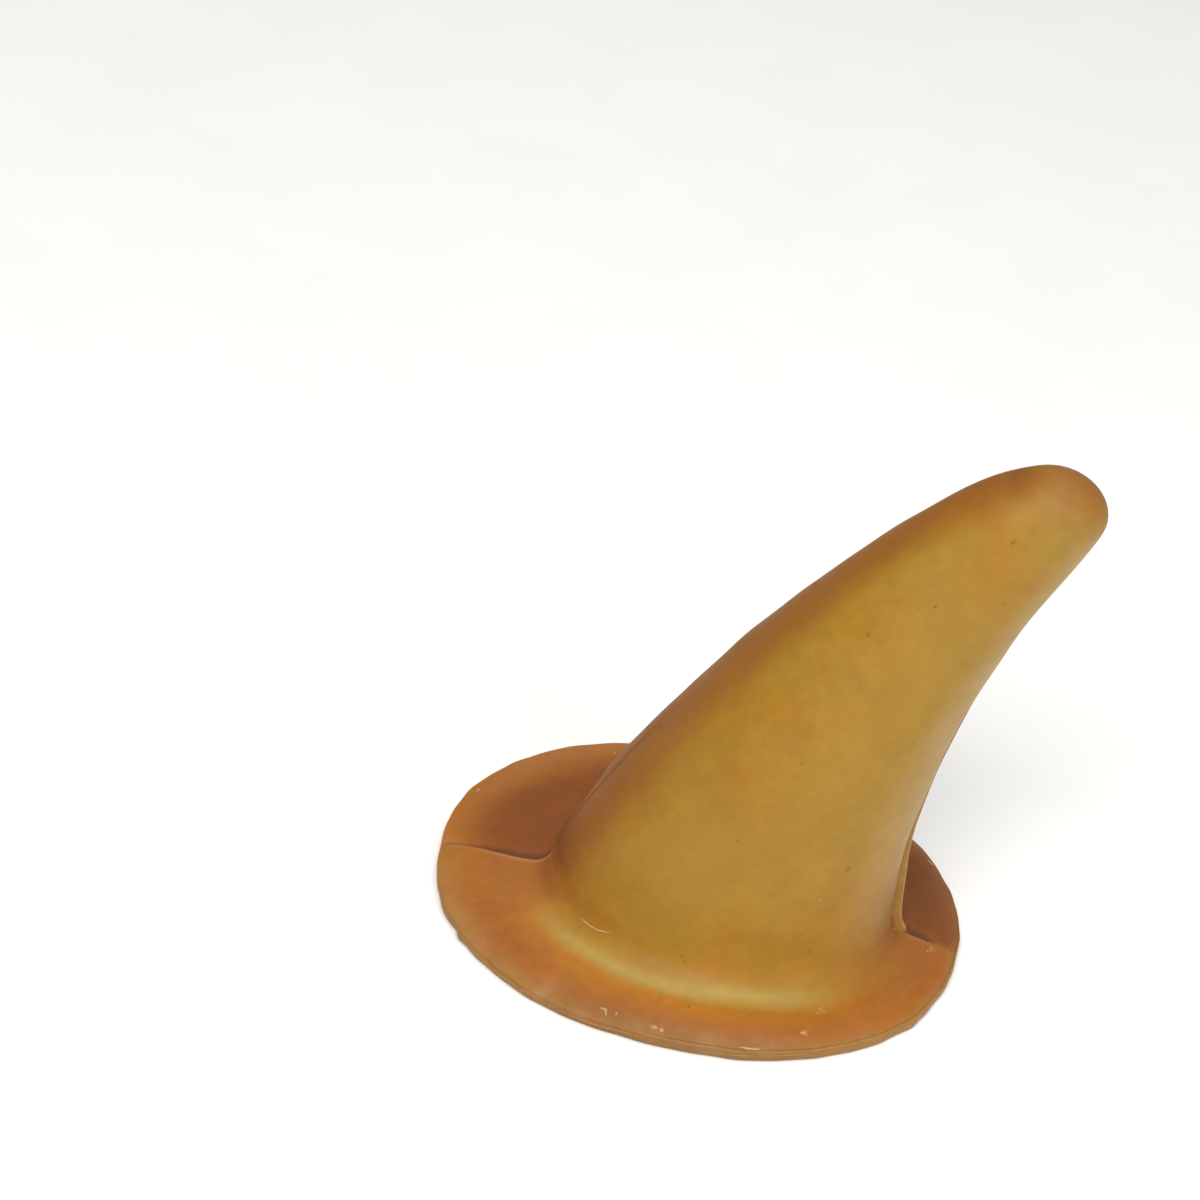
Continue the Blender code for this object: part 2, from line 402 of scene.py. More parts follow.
def rimRings(angles):
    # the crease under the lip wanders up and down, deepens and fades
    uneven = 0.6 * np.sin(3 * angles + 2.6) + 0.3 * np.sin(11 * angles + 0.4)
    uneven += 0.2 * np.sin(29 * angles)
    fromToe = (np.degrees(angles) + 195) % 360 - 180  # it is faint about 15 degrees before the toe
    depth = np.clip(0.35 + uneven, 0, 1) * (1 - 0.75 * hump(fromToe, 0, 34))
    crease = rimShape["crease"]
    rings = []
    for inset, height in rimShape["section"]:
        ring = rimOval(inset, height, angles)
        ring[:, :2] *= 1 - rimShape["creaseShare"] * hump(height, crease, 0.10) * depth[:, None]
        bulge = rimShape["bulgeShare"] * hump(height, 1.0, 0.9) * np.sin(17 * angles + 1.0)
        ring[:, :2] *= 1 - bulge[:, None]
        ring[:, 1] += ear["brimAside"]
        ring[:, 2] += rimShape["creaseSwing"] * hump(height, crease, 0.3) * np.sin(4 * angles + 2.0)
        rings.append(ring)
    return np.array(rings)


def innerRings(angles):
    # The wall's inner face, one wall inside the smooth form, cut flat where the land is.
    rings, rows = earRows(angles, ear["innerRows"])
    up = np.repeat(rows[:, None], len(angles), axis=1)
    rings[..., 1] += asideShift(up)
    rings = rings - outwardNormals(rings) * ear["wall"]
    rings[..., 2] = np.maximum(rings[..., 2], 0)
    return rings, up


def innerPoint():
    # where the hollow ends under the tip
    x, z = tipCentre + direction(ear["tipLean"]) * (ear["tipDepth"] - ear["wall"])
    return np.array((x, 0, z))


rimGrid = rimRings(angles)
innerGrid, innerClimb = innerRings(angles)
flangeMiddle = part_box("rubber_ear")[0].x / mm + ear["flangeLength"] / 2


def gridQuads(rows, columns):
    faces = []
    for row in range(rows - 1):
        here, above = row * columns, (row + 1) * columns
        for column in range(columns):
            beside = (column + 1) % columns
            faces.append((here + column, here + beside, above + beside, above + column))
    return faces


def inPlace(points):
    # From millimetres about the flange's middle to metres in the frame.
    return (np.asarray(points) + (flangeMiddle, 0, 0)) * mm


def addObject(name, data):
    thing = bpy.data.objects.new(name, data)
    bpy.context.scene.collection.objects.link(thing)
    return thing


def addAttribute(mesh, name, kind, values):
    attribute = mesh.attributes.new(name, kind, "POINT")
    key = "vector" if kind == "FLOAT_VECTOR" else "value"
    attribute.data.foreach_set(key, np.ravel(values).astype(np.float32))


def buildSkin():
    # one closed loop of rows: inner face from its pole down, the land, the rim, the outer face up
    rows = np.concatenate((innerGrid[::-1], rimGrid, outerGrid))
    rowTotal, columns = rows.shape[:2]
    points = [*rows.reshape(-1, 3), innerPoint(), outerGrid[-1].mean(axis=0)]
    faces = gridQuads(rowTotal, columns)
    innerPole = rowTotal * columns
    outerPole = innerPole + 1
    last = (rowTotal - 1) * columns
    for column in range(columns):
        beside = (column + 1) % columns
        faces.append((innerPole, beside, column))
        faces.append((last + column, last + beside, outerPole))
    mesh = bpy.data.meshes.new("earSkin")
    mesh.from_pydata([tuple(point) for point in inPlace(points)], [], faces)
    mesh.validate()
    mesh.shade_smooth()
    flat = np.zeros((len(rimGrid), columns))
    fromInner = np.zeros(innerClimb.shape)
    values = {
        "climb": (innerClimb[::-1], flat, climb, (4, 4)),
        "spine": (fromInner - np.cos(angles), flat - np.cos(angles), spine, (0, 0)),
        "farSide": (fromInner + np.sin(angles), flat + np.sin(angles), sine, (0, 0)),
        "beyond": (fromInner, pastBorder(rimGrid[..., 1], 0), beyond, (0, 0)),
        "inside": (fromInner + 1, flat, 0 * climb, (1, 0)),
    }
    outerMasks = {"groove": groove, "lipLight": lipLight, "warmth": warmth, "filletHighlight": filletHighlight}
    outerMasks["nearSeam"] = nearSeam
    for name, mask in outerMasks.items():
        values[name] = (fromInner, flat, mask, (0, 0))
    for name, parts in values.items():
        addAttribute(mesh, name, "FLOAT", np.concatenate([np.ravel(part) for part in parts]))
    return addObject("earSkin", mesh)


def onSkin(angle, up):
    # Point, outward and uphill directions on the outer face, at an angle and a climb.
    column = np.interp(angle % 360, np.degrees([*angles, 2 * pi]), np.arange(columnCount + 1))
    row = np.interp(up, climbRows, np.arange(rowCount))
    low, left = int(row), int(column)
    high, right = min(low + 1, rowCount - 1), (left + 1) % columnCount
    left %= columnCount
    rise, run = row - low, column - int(column)

    def blend(grid):
        lower = grid[low, left] * (1 - run) + grid[low, right] * run
        upper = grid[high, left] * (1 - run) + grid[high, right] * run
        return lower * (1 - rise) + upper * rise

    uphill = unit(outerGrid[high, left] - outerGrid[low, left])
    return blend(outerGrid), unit(blend(normals)), uphill


# Shader and geometry trees are built with these few helpers.
def addNode(tree, kind, values=None, **settings):
    node = tree.nodes.new(kind)
    for name, value in settings.items():
        setattr(node, name, value)
    for key, value in (values or {}).items():
        if isinstance(value, bpy.types.NodeSocket):
            tree.links.new(value, node.inputs[key])
        else:
            node.inputs[key].default_value = value
    return node


def maths(tree, operation, first, second=0.0, third=0.0):
    values = {0: first, 1: second, 2: third}
    return addNode(tree, "ShaderNodeMath", values, operation=operation).outputs[0]


def vectorMaths(tree, operation, first, second, third=(0.0, 0.0, 0.0)):
    values = {0: first, 1: second, 2: third}
    return addNode(tree, "ShaderNodeVectorMath", values, operation=operation).outputs[0]


def mapRange(tree, value, low, high, toLow=0.0, toHigh=1.0):
    values = {"Value": value, "From Min": low, "From Max": high, "To Min": toLow, "To Max": toHigh}
    node = addNode(tree, "ShaderNodeMapRange", values, interpolation_type="SMOOTHSTEP")
    return node.outputs["Result"]


def mixColour(tree, factor, first, second, blend="MIX"):
    values = {0: factor, 6: first, 7: second}
    settings = {"data_type": "RGBA", "blend_type": blend}
    return addNode(tree, "ShaderNodeMix", values, **settings).outputs[2]


def newMaterial(name):
    material = bpy.data.materials.new(name)
    material.use_nodes = True
    tree = material.node_tree
    place = addNode(tree, "ShaderNodeTexCoord").outputs["Object"]
    return material, tree, tree.nodes["Principled BSDF"], place


def attributeValue(tree, name):
    return addNode(tree, "ShaderNodeAttribute", attribute_name=name).outputs["Fac"]


def noise(tree, coordinates, scale, detail=2.0, roughness=0.5, distortion=0.0):
    values = {"Vector": coordinates, "Scale": scale, "Detail": detail}
    values |= {"Roughness": roughness, "Distortion": distortion}
    return addNode(tree, "ShaderNodeTexNoise", values).outputs["Fac"]


# Colours of the amber rubber, as linear red, green and blue.
amber = {
    "rimGold": (0.290, 0.145, 0.036),
    "brimOrange": (0.285, 0.091, 0.012),
    "brimWarm": (0.312, 0.114, 0.015),
    "brimGlow": (0.372, 0.146, 0.015),
    # a painted highlight, for the band along the near fillet
    "paintedHighlight": (0.355, 0.236, 0.054),
    "underBand": (0.300, 0.152, 0.014),
    "innerFillet": (0.306, 0.150, 0.010),
    "bodyLow": (0.326, 0.174, 0.018),
    "bodyMiddle": (0.304, 0.168, 0.020),
    "bodyOchre": (0.300, 0.168, 0.021),
    "tipGold": (0.276, 0.162, 0.024),
    "tipTan": (0.256, 0.124, 0.020),
    "tipBrown": (0.255, 0.106, 0.020),
    "nearSeam": (0.275, 0.094, 0.018),
    "warmPatch": (0.330, 0.125, 0.007),
    "redPatch": (0.320, 0.092, 0.018),
    "olivePatch": (0.285, 0.170, 0.022),
    # the spine's band, partly a stain and partly painted shade; also painted shade in the crease at its
    # foot
    "spineRed": (0.258, 0.098, 0.015),
    # a brown for painted shade at the spine's foot, and for the brim behind the body, partly a stain and
    # partly painted shade
    "stainAndShadeBrown": (0.205, 0.060, 0.010),
    "behindRim": (0.350, 0.124, 0.016),
    # a painted shadow on the brim behind the body, at the toe
    "toeShade": (0.150, 0.055, 0.016),
    "tipShade": (0.195, 0.076, 0.016),
    # a painted sheen for the front edge
    "frontSheen": (0.393, 0.252, 0.084),
    "rimPale": (0.395, 0.228, 0.098),
    "rimShade": (0.200, 0.085, 0.022),
    # painted shade for the mould's steps and the front crease
    "grooveDirt": (0.105, 0.034, 0.012),
    # a painted highlight for the lip beside the mould's step
    "lipHighlight": (0.420, 0.215, 0.095),
    "insideDust": (0.310, 0.180, 0.050),
    "speck": (0.140, 0.056, 0.009),
    "smudge": (0.480, 0.270, 0.110),
    "roughness": 0.50,
    "subsurface": 0.10,
    "bump": 0.25,
}

# Small soft marks in the rubber: (angle, climb, radius in millimetres, strength)
darkSpecks = (
    (270.0, 0.823, 0.60, 0.55),
    (260.5, 1.600, 0.85, 0.30),
    (262.8, 1.520, 0.70, 0.28),
    (235.0, 2.607, 0.75, 0.50),
    (258.6, 2.375, 0.50, 0.5),
    (305.0, 2.196, 1.05, 0.50),
    (256.7, 2.205, 0.50, 0.5),
    (252.9, 2.955, 0.60, 0.6),
    (251.1, 2.723, 0.50, 0.6),
    (287.1, 2.830, 0.70, 0.25),
    (271.9, 3.292, 0.50, 0.2),
    (294.4, 2.036, 1.60, 0.2),
    (301.0, 1.960, 0.70, 0.40),
    (96.0, 2.300, 0.60, 0.6),
    (70.0, 2.550, 0.80, 0.5),
    (128.0, 2.150, 0.60, 0.6),
    (84.0, 0.600, 0.70, 0.6),
)
paleSmudges = (
    (304.8, 1.000, 0.80, 0.5),
    (305.9, 0.930, 0.60, 0.5),
    (303.9, 0.920, 0.70, 0.4),
    (298.4, 0.400, 1.00, 0.6),
    (298.0, 2.125, 0.50, 0.5),
    (266.4, 0.170, 1.10, 0.4),
    (354.6, 0.560, 0.90, 0.3),
    (60.0, 0.300, 0.90, 0.4),
)


def product(tree, *factors):
    result = factors[0]
    for factor in factors[1:]:
        result = maths(tree, "MULTIPLY", result, factor)
    return result


def tint(tree, colour, amount, name):
    return mixColour(tree, amount, colour, (*amber[name], 1))


def dab(tree, colour, place, marks, name):
    # a soft round mark at each listed place on the skin
    for angle, up, radius, strength in marks:
        centre = tuple(inPlace(onSkin(angle, up)[0]))
        away = addNode(tree, "ShaderNodeVectorMath", {0: place, 1: centre}, operation="DISTANCE")
        amount = mapRange(tree, away.outputs["Value"], radius * mm, 0.25 * radius * mm, 0.0, strength)
        colour = tint(tree, colour, amount, name)
    return colour


def bandColours(tree, skin):
    # colours by the climb, with borders that wander a little, as poured rubber does
    tipwards = product(tree, skin["spine"], mapRange(tree, skin["climb"], 2.95, 3.25))
    stops = (
        (0.000, "rimGold"),
        (0.070, "brimOrange"),
        (0.140, "brimWarm"),
        (0.215, "brimGlow"),
        (0.300, "underBand"),
        (0.370, "innerFillet"),
        (0.490, "bodyLow"),
        (0.560, "bodyMiddle"),
        (0.650, "bodyOchre"),
        (0.790, "tipGold"),
        (0.890, "tipTan"),
        (0.970, "tipBrown"),
    )
    reached = maths(tree, "MULTIPLY_ADD", tipwards, 0.24, skin["shifted"])
    node = addNode(tree, "ShaderNodeValToRGB", {"Fac": maths(tree, "DIVIDE", reached, 4.0)})
    ramp = node.color_ramp
    ramp.interpolation = "CARDINAL"
    while len(ramp.elements) < len(stops):
        ramp.elements.new(0.5)
    for element, (place, name) in zip(ramp.elements, stops):
        element.position = place
        element.color = (*amber[name], 1)
    return node.outputs["Color"]


def patchColours(tree, skin, colour):
    # mottling: warm and olive patches on the body, red and glowing ones on the brim
    climb, spine, onBody, middling = skin["climb"], skin["spine"], skin["onBody"], skin["middling"]
    broad = noise(tree, skin["place"], 75.0, 3.0, 0.5, 0.8)
    onBrim = mapRange(tree, climb, 1.2, 0.8)
    notFront = product(tree, mapRange(tree, spine, -0.75, -0.25), onBody)
    patches = product(tree, mapRange(tree, broad, 0.50, 0.75), onBody, 0.30)
    warm = maths(tree, "MULTIPLY_ADD", skin["warmth"], 0.60, patches)
    olive = product(tree, mapRange(tree, broad, 0.50, 0.30), notFront, 0.3)
    red = product(tree, mapRange(tree, middling, 0.48, 0.70), onBrim, 0.55)
    glow = product(tree, mapRange(tree, middling, 0.46, 0.30), onBrim, 0.35)
    colour = tint(tree, colour, warm, "warmPatch")
    colour = tint(tree, colour, olive, "olivePatch")
    colour = tint(tree, colour, red, "redPatch")
    colour = tint(tree, colour, glow, "brimGlow")
    colour = tint(tree, colour, product(tree, skin["nearSeam"], 0.85), "nearSeam")
    # a painted highlight along the near fillet
    return tint(tree, colour, skin["filletHighlight"], "paintedHighlight")


def edgeColours(tree, skin, colour):
    # the spine is redder and darker, partly a stain and partly painted shade, more broadly so near the
    # tip;
    # the front edge gets a painted sheen
    climb, spine, onBody = skin["climb"], skin["spine"], skin["onBody"]
    high = mapRange(tree, climb, 2.7, 3.0)
    spineFrom = maths(tree, "MULTIPLY_ADD", high, -0.38, 0.78)
    spineStainShade = product(tree, mapRange(tree, spine, spineFrom, 1.0), onBody)
    colour = tint(tree, colour, spineStainShade, "spineRed")
    # over the tip the band darkens further, partly a stain and partly painted shade
    onTip = product(tree, mapRange(tree, climb, 2.8, 3.2), mapRange(tree, climb, 3.9, 3.4))
    colour = tint(tree, colour, product(tree, spineStainShade, onTip, 0.6), "tipShade")
    # a painted sheen along the front edge of the body
    frontFrom = maths(tree, "MULTIPLY_ADD", high, 0.17, -0.42)
    frontTo = maths(tree, "MULTIPLY_ADD", high, 0.08, -0.93)
    paintedFrontSheen = product(tree, mapRange(tree, spine, frontFrom, frontTo), onBody, 0.82)
    between = product(tree, mapRange(tree, climb, 1.8, 2.3), mapRange(tree, climb, 3.95, 3.25))
    colour = tint(tree, colour, product(tree, paintedFrontSheen, between), "frontSheen")

    # painted shade at the foot of the spine, and in the crease around it
    foot = product(tree, mapRange(tree, climb, 0.85, 1.35), mapRange(tree, climb, 2.35, 1.75))
    heelFoot = product(tree, mapRange(tree, spine, 0.78, 0.97), foot, 0.75)
    colour = tint(tree, colour, heelFoot, "stainAndShadeBrown")
    inCrease = product(tree, mapRange(tree, climb, 1.20, 1.45), mapRange(tree, climb, 1.85, 1.55))
    crease = product(tree, mapRange(tree, spine, 0.15, 0.70), inCrease, 0.5)
    return tint(tree, colour, crease, "spineRed")


def farBrimColours(tree, skin, colour):
    # behind the body the brim turns red-brown, partly a stain and partly painted shade from the body,
    # with a painted shadow at the toe; golden only along its rim
    spine = skin["spine"]
    behind = product(tree, skin["beyond"], mapRange(tree, skin["climb"], 2.4, 1.6))
    toeward = mapRange(tree, spine, -0.50, -0.95)
    nearer = maths(tree, "MULTIPLY_ADD", toeward, 0.35, skin["shifted"])
    nearer = maths(tree, "MULTIPLY_ADD", mapRange(tree, spine, 0.80, 1.0), 0.16, nearer)
    brown = product(tree, behind, mapRange(tree, nearer, 0.10, 0.80))
    colour = tint(tree, colour, behind, "behindRim")
    colour = tint(tree, colour, brown, "stainAndShadeBrown")
    return tint(tree, colour, product(tree, behind, toeward, 0.45), "toeShade")


def rimColours(tree, skin, colour):
    # the rim is golden at the heel, shaded at the near side and worn pale in places
    climb, farSide = skin["climb"], skin["farSide"]
    nearRim = mapRange(tree, climb, 0.55, 0.10)
    atHeel = mapRange(tree, skin["spine"], 0.84, 0.97)
    goldHeel = product(tree, atHeel, mapRange(tree, climb, 0.7, 0.2), 0.5)
    goldHeel = product(tree, goldHeel, maths(tree, "SUBTRACT", 1.0, skin["beyond"]))
    shaded = product(tree, mapRange(tree, farSide, -0.80, -0.97), nearRim, 0.5)
    worn = noise(tree, skin["place"], 95.0, 4.0, 0.6, 0.5)
    wear = product(tree, mapRange(tree, worn, 0.42, 0.68), nearRim, 0.32)
    wear = product(tree, wear, mapRange(tree, farSide, -0.45, -0.90, 0.35, 0.85))
    colour = tint(tree, colour, goldHeel, "behindRim")
    colour = tint(tree, colour, shaded, "rimShade")
    return tint(tree, colour, wear, "rimPale")


def markColours(tree, skin, colour):
    # fine clouding, painted shade in the mould's step and a painted highlight on the lip above it,
    # small marks, dust inside
    place = skin["place"]
    fine = mapRange(tree, noise(tree, place, 420.0, 4.0, 0.65), 0.30, 0.72, 0.95, 1.05)
    slow = mapRange(tree, noise(tree, place, 130.0, 2.0, 0.5), 0.3, 0.7, 0.965, 1.035)
    colour = mixColour(tree, 1.0, colour, fine, "MULTIPLY")
    colour = mixColour(tree, 1.0, colour, slow, "MULTIPLY")
    # painted shade in the mould's steps and beside the front flash
    paintedShade = mapRange(tree, skin["groove"], 0.28, 0.85, 0.0, 0.9)
    colour = tint(tree, colour, paintedShade, "grooveDirt")
    # a painted highlight on the step's lip
    colour = tint(tree, colour, product(tree, skin["lipLight"], 0.46), "lipHighlight")
    shaken = addNode(tree, "ShaderNodeTexNoise", {"Vector": place, "Scale": 900.0}).outputs["Color"]
    shaken = vectorMaths(tree, "SUBTRACT", shaken, (0.5, 0.5, 0.5))
    shaken = vectorMaths(tree, "MULTIPLY_ADD", shaken, (0.0014, 0.0014, 0.0014), place)
    colour = dab(tree, colour, shaken, darkSpecks, "speck")
    colour = dab(tree, colour, shaken, paleSmudges, "smudge")
    return tint(tree, colour, product(tree, skin["inside"], 0.7), "insideDust")


def rubberMaterial():
    material, tree, shader, place = newMaterial("amberRubber")
    masks = (
        "climb", "spine", "farSide", "beyond", "groove",
        "lipLight", "warmth", "filletHighlight", "nearSeam", "inside",
    )
    skin = {name: attributeValue(tree, name) for name in masks}
    climb, spine, inside = skin["climb"], skin["spine"], skin["inside"]
    wander = noise(tree, place, 55.0, 2.0, 0.5, 0.3)
    skin["place"] = place
    skin["shifted"] = maths(tree, "MULTIPLY_ADD", wander, 0.16, maths(tree, "SUBTRACT", climb, 0.08))
    skin["middling"] = noise(tree, place, 210.0, 3.0, 0.6, 0.4)
    skin["onBody"] = mapRange(tree, climb, 1.3, 2.0)
    colour = bandColours(tree, skin)
    for layer in (patchColours, edgeColours, farBrimColours, rimColours, markColours):
        colour = layer(tree, skin, colour)
    tree.links.new(colour, shader.inputs["Base Color"])

    # satin, with a duller spine and inside, under a fine grain
    rough = amber["roughness"]
    rough = mapRange(tree, skin["middling"], 0.3, 0.7, rough - 0.05, rough + 0.07)
    tree.links.new(maths(tree, "MULTIPLY_ADD", inside, 0.2, rough), shader.inputs["Roughness"])
    dull = product(tree, mapRange(tree, spine, 0.35, 0.90), mapRange(tree, climb, 1.1, 1.7))
    gloss = maths(tree, "MULTIPLY_ADD", dull, -0.35, 0.50)
    tree.links.new(gloss, shader.inputs["Specular IOR Level"])
    grain = noise(tree, place, 900.0, 3.0, 0.6)
    pores = noise(tree, place, 260.0, 2.0, 0.5)
    height = maths(tree, "MULTIPLY_ADD", pores, 1.6, grain)
    values = {"Height": height, "Strength": amber["bump"], "Distance": 0.00012}
    bump = addNode(tree, "ShaderNodeBump", values)
    tree.links.new(bump.outputs["Normal"], shader.inputs["Normal"])
    shader.inputs["Subsurface Weight"].default_value = amber["subsurface"]
    shader.inputs["Subsurface Radius"].default_value = (1.0, 0.42, 0.14)
    shader.inputs["Subsurface Scale"].default_value = 0.003
    shader.inputs["IOR"].default_value = 1.30
    return material


def plainRubber(name, colour, roughness, mottle):
    material, tree, shader, place = newMaterial(name)
    clouds = noise(tree, place, 400.0, 3.0, 0.6)
    value = mapRange(tree, clouds, 0.3, 0.7, 1 - mottle, 1 + mottle)
    tree.links.new(mixColour(tree, 1.0, (*colour, 1), value, "MULTIPLY"), shader.inputs["Base Color"])
    grain = noise(tree, place, 1200.0, 2.0)
    bump = addNode(tree, "ShaderNodeBump", {"Height": grain, "Strength": 0.2, "Distance": 0.0001})
    tree.links.new(bump.outputs["Normal"], shader.inputs["Normal"])
    shader.inputs["Roughness"].default_value = roughness
    return material


def newTree(name, inputs):
    tree = bpy.data.node_groups.new(name, "GeometryNodeTree")
    tree.interface.new_socket("Geometry", in_out="INPUT", socket_type="NodeSocketGeometry")
    for label, (kind, value) in inputs.items():
        socket = tree.interface.new_socket(label, in_out="INPUT", socket_type="NodeSocket" + kind)
        if value is not None:
            socket.default_value = value
    tree.interface.new_socket("Geometry", in_out="OUTPUT", socket_type="NodeSocketGeometry")
    return tree


def namedInput(tree, name, kind):
    values = {"Name": name}
    return addNode(tree, "GeometryNodeInputNamedAttribute", values, data_type=kind).outputs[0]


def finishTree(tree, mesh, material):
    mesh = addNode(tree, "GeometryNodeRealizeInstances", {0: mesh}).outputs[0]
    mesh = addNode(tree, "GeometryNodeSetShadeSmooth", {0: mesh}).outputs[0]
    values = {"Geometry": mesh, "Material": material}
    mesh = addNode(tree, "GeometryNodeSetMaterial", values).outputs[0]
    addNode(tree, "NodeGroupOutput", {0: mesh})


def beadTree():
    # A strip with rounded corners that follows a path of edges. Its sizes are in metres.
    tree = newTree(
        "beadAlongPath",
        {
            "Width": ("Float", 0.001),
            "Proud": ("Float", 0.0005),
            "Bedded": ("Float", 0.0005),
            "Corner": ("Float", 0.0002),
            "Spacing": ("Float", 0.0005),
            "Fade In": ("Float", 0.1),
            "Fade Out": ("Float", 0.1),
            "Ragged": ("Float", 0.2),
            "Ragged Scale": ("Float", 300.0),
            "Seed": ("Float", 3.0),
            "Material": ("Material", None),
        },
    )
    given = addNode(tree, "NodeGroupInput").outputs
    curve = addNode(tree, "GeometryNodeMeshToCurve", {0: given["Geometry"]}).outputs[0]
    values = {"Curve": curve, "Length": given["Spacing"]}
    curve = addNode(tree, "GeometryNodeResampleCurve", values, mode="LENGTH").outputs[0]
    values = {"Curve": curve, "Normal": namedInput(tree, "across", "FLOAT_VECTOR")}
    curve = addNode(tree, "GeometryNodeSetCurveNormal", values, mode="FREE").outputs[0]
    along = addNode(tree, "GeometryNodeSplineParameter").outputs["Factor"]
    fadeIn = mapRange(tree, along, 0.0, given["Fade In"], 0.02, 1.0)
    left = maths(tree, "SUBTRACT", 1.0, along)
    fadeOut = mapRange(tree, left, 0.0, given["Fade Out"], 0.02, 1.0)
    position = addNode(tree, "GeometryNodeInputPosition").outputs[0]
    values = {"Vector": position, "W": given["Seed"], "Scale": given["Ragged Scale"], "Detail": 2.0}
    rag = addNode(tree, "ShaderNodeTexNoise", values, noise_dimensions="4D").outputs["Fac"]
    swing = maths(tree, "MULTIPLY", maths(tree, "SUBTRACT", rag, 0.5), 2.0)
    ragged = maths(tree, "MULTIPLY_ADD", swing, given["Ragged"], 1.0)
    radius = product(tree, fadeIn, fadeOut, ragged, namedInput(tree, "thickness", "FLOAT"))
    values = {"Width": given["Width"], "Height": maths(tree, "ADD", given["Proud"], given["Bedded"])}
    section = addNode(tree, "GeometryNodeCurvePrimitiveQuadrilateral", values).outputs[0]
    corners = {"Curve": section, "Count": 3, "Radius": given["Corner"]}
    section = addNode(tree, "GeometryNodeFilletCurve", corners, mode="POLY").outputs[0]
    lift = maths(tree, "MULTIPLY", maths(tree, "SUBTRACT", given["Proud"], given["Bedded"]), 0.5)
    up = addNode(tree, "ShaderNodeCombineXYZ", {"Y": lift}).outputs[0]
    section = addNode(tree, "GeometryNodeTransform", {"Geometry": section, "Translation": up}).outputs[0]
    values = {"Curve": curve, "Profile Curve": section, "Scale": radius, "Fill Caps": True}
    finishTree(tree, addNode(tree, "GeometryNodeCurveToMesh", values).outputs[0], given["Material"])
    return tree


def fleckTree():
    # Small flat domes set on points. Each point brings its own outward, heading and size.
    tree = newTree(
        "flecksOnPoints",
        {
            "Size": ("Float", 1.0),
            "Roundness": ("Int", 2),
            "Variation": ("Float", 0.15),
            "Seed": ("Int", 7),
            "Material": ("Material", None),
        },
    )
    given = addNode(tree, "NodeGroupInput").outputs
    values = {"Radius": 1.0, "Subdivisions": given["Roundness"]}
    ball = addNode(tree, "GeometryNodeMeshIcoSphere", values).outputs[0]
    outward, heading, size = (
        namedInput(tree, name, "FLOAT_VECTOR") for name in ("outward", "heading", "size")
    )
    turn = addNode(tree, "FunctionNodeAxesToRotation", {0: outward, 1: heading}).outputs[0]
    least = maths(tree, "SUBTRACT", 1.0, given["Variation"])
    most = maths(tree, "ADD", 1.0, given["Variation"])
    values = {"Seed": given["Seed"], 2: least, 3: most}
    spread = addNode(tree, "FunctionNodeRandomValue", values, data_type="FLOAT").outputs[1]
    values = {0: size, "Scale": maths(tree, "MULTIPLY", spread, given["Size"])}
    scale = addNode(tree, "ShaderNodeVectorMath", values, operation="SCALE").outputs[0]
    values = {"Points": given["Geometry"], "Instance": ball, "Rotation": turn, "Scale": scale}
    finishTree(tree, addNode(tree, "GeometryNodeInstanceOnPoints", values).outputs[0], given["Material"])
    return tree


def grow(name, mesh, tree, values):
    # Runs a geometry tree on a mesh and keeps its result as a plain mesh of its own.
    source = addObject(name + "Source", mesh)
    modifier = source.modifiers.new(name, "NODES")
    modifier.node_group = tree
    for item in tree.interface.items_tree:
        if item.in_out == "INPUT" and item.name in values:
            modifier[item.identifier] = values[item.name]
    bpy.context.view_layer.update()
    graph = bpy.context.evaluated_depsgraph_get()
    made = bpy.data.meshes.new_from_object(source.evaluated_get(graph), depsgraph=graph)
    bpy.data.objects.remove(source)
    made.name = name
    return addObject(name, made)


def pathMesh(name, runs):
    # Paths as plain edges. A run is (points in millimetres, across directions, thickness along it).
    points, across, thickness, links = [], [], [], []
    for runPoints, runAcross, runThickness in runs:
        first = len(points)
        points += [tuple(point) for point in inPlace(runPoints)]
        across += [tuple(way) for way in runAcross]
        thickness += list(np.broadcast_to(runThickness, len(runPoints)))
        links += [(first + i, first + i + 1) for i in range(len(runPoints) - 1)]
    mesh = bpy.data.meshes.new(name)
    mesh.from_pydata(points, links, [])
    addAttribute(mesh, "across", "FLOAT_VECTOR", across)
    addAttribute(mesh, "thickness", "FLOAT", thickness)
    return mesh


def pointMesh(name, marks):
    # Loose points with outward, heading and size. Sizes are half lengths in millimetres.
    points, outwards, headings, sizes = [], [], [], []
    for angle, up, turned, size in marks:
        point, outward, uphill = onSkin(angle, up)
        sideways = unit(np.cross(uphill, outward))
        heading = uphill * sin(radians(turned)) + sideways * cos(radians(turned))
        points.append(tuple(inPlace(point)))
        outwards.append(outward)
        headings.append(heading)
        sizes.append(np.array(size) * mm)
    mesh = bpy.data.meshes.new(name)
    mesh.from_pydata(points, [], [])
    addAttribute(mesh, "outward", "FLOAT_VECTOR", outwards)
    addAttribute(mesh, "heading", "FLOAT_VECTOR", headings)
    addAttribute(mesh, "size", "FLOAT_VECTOR", sizes)
    return mesh


print("skin: one closed mesh of", len(outerGrid) + len(rimGrid) + len(innerGrid), "rows")
amberRubber = rubberMaterial()
earSkin = buildSkin()
earSkin.data.materials.append(amberRubber)

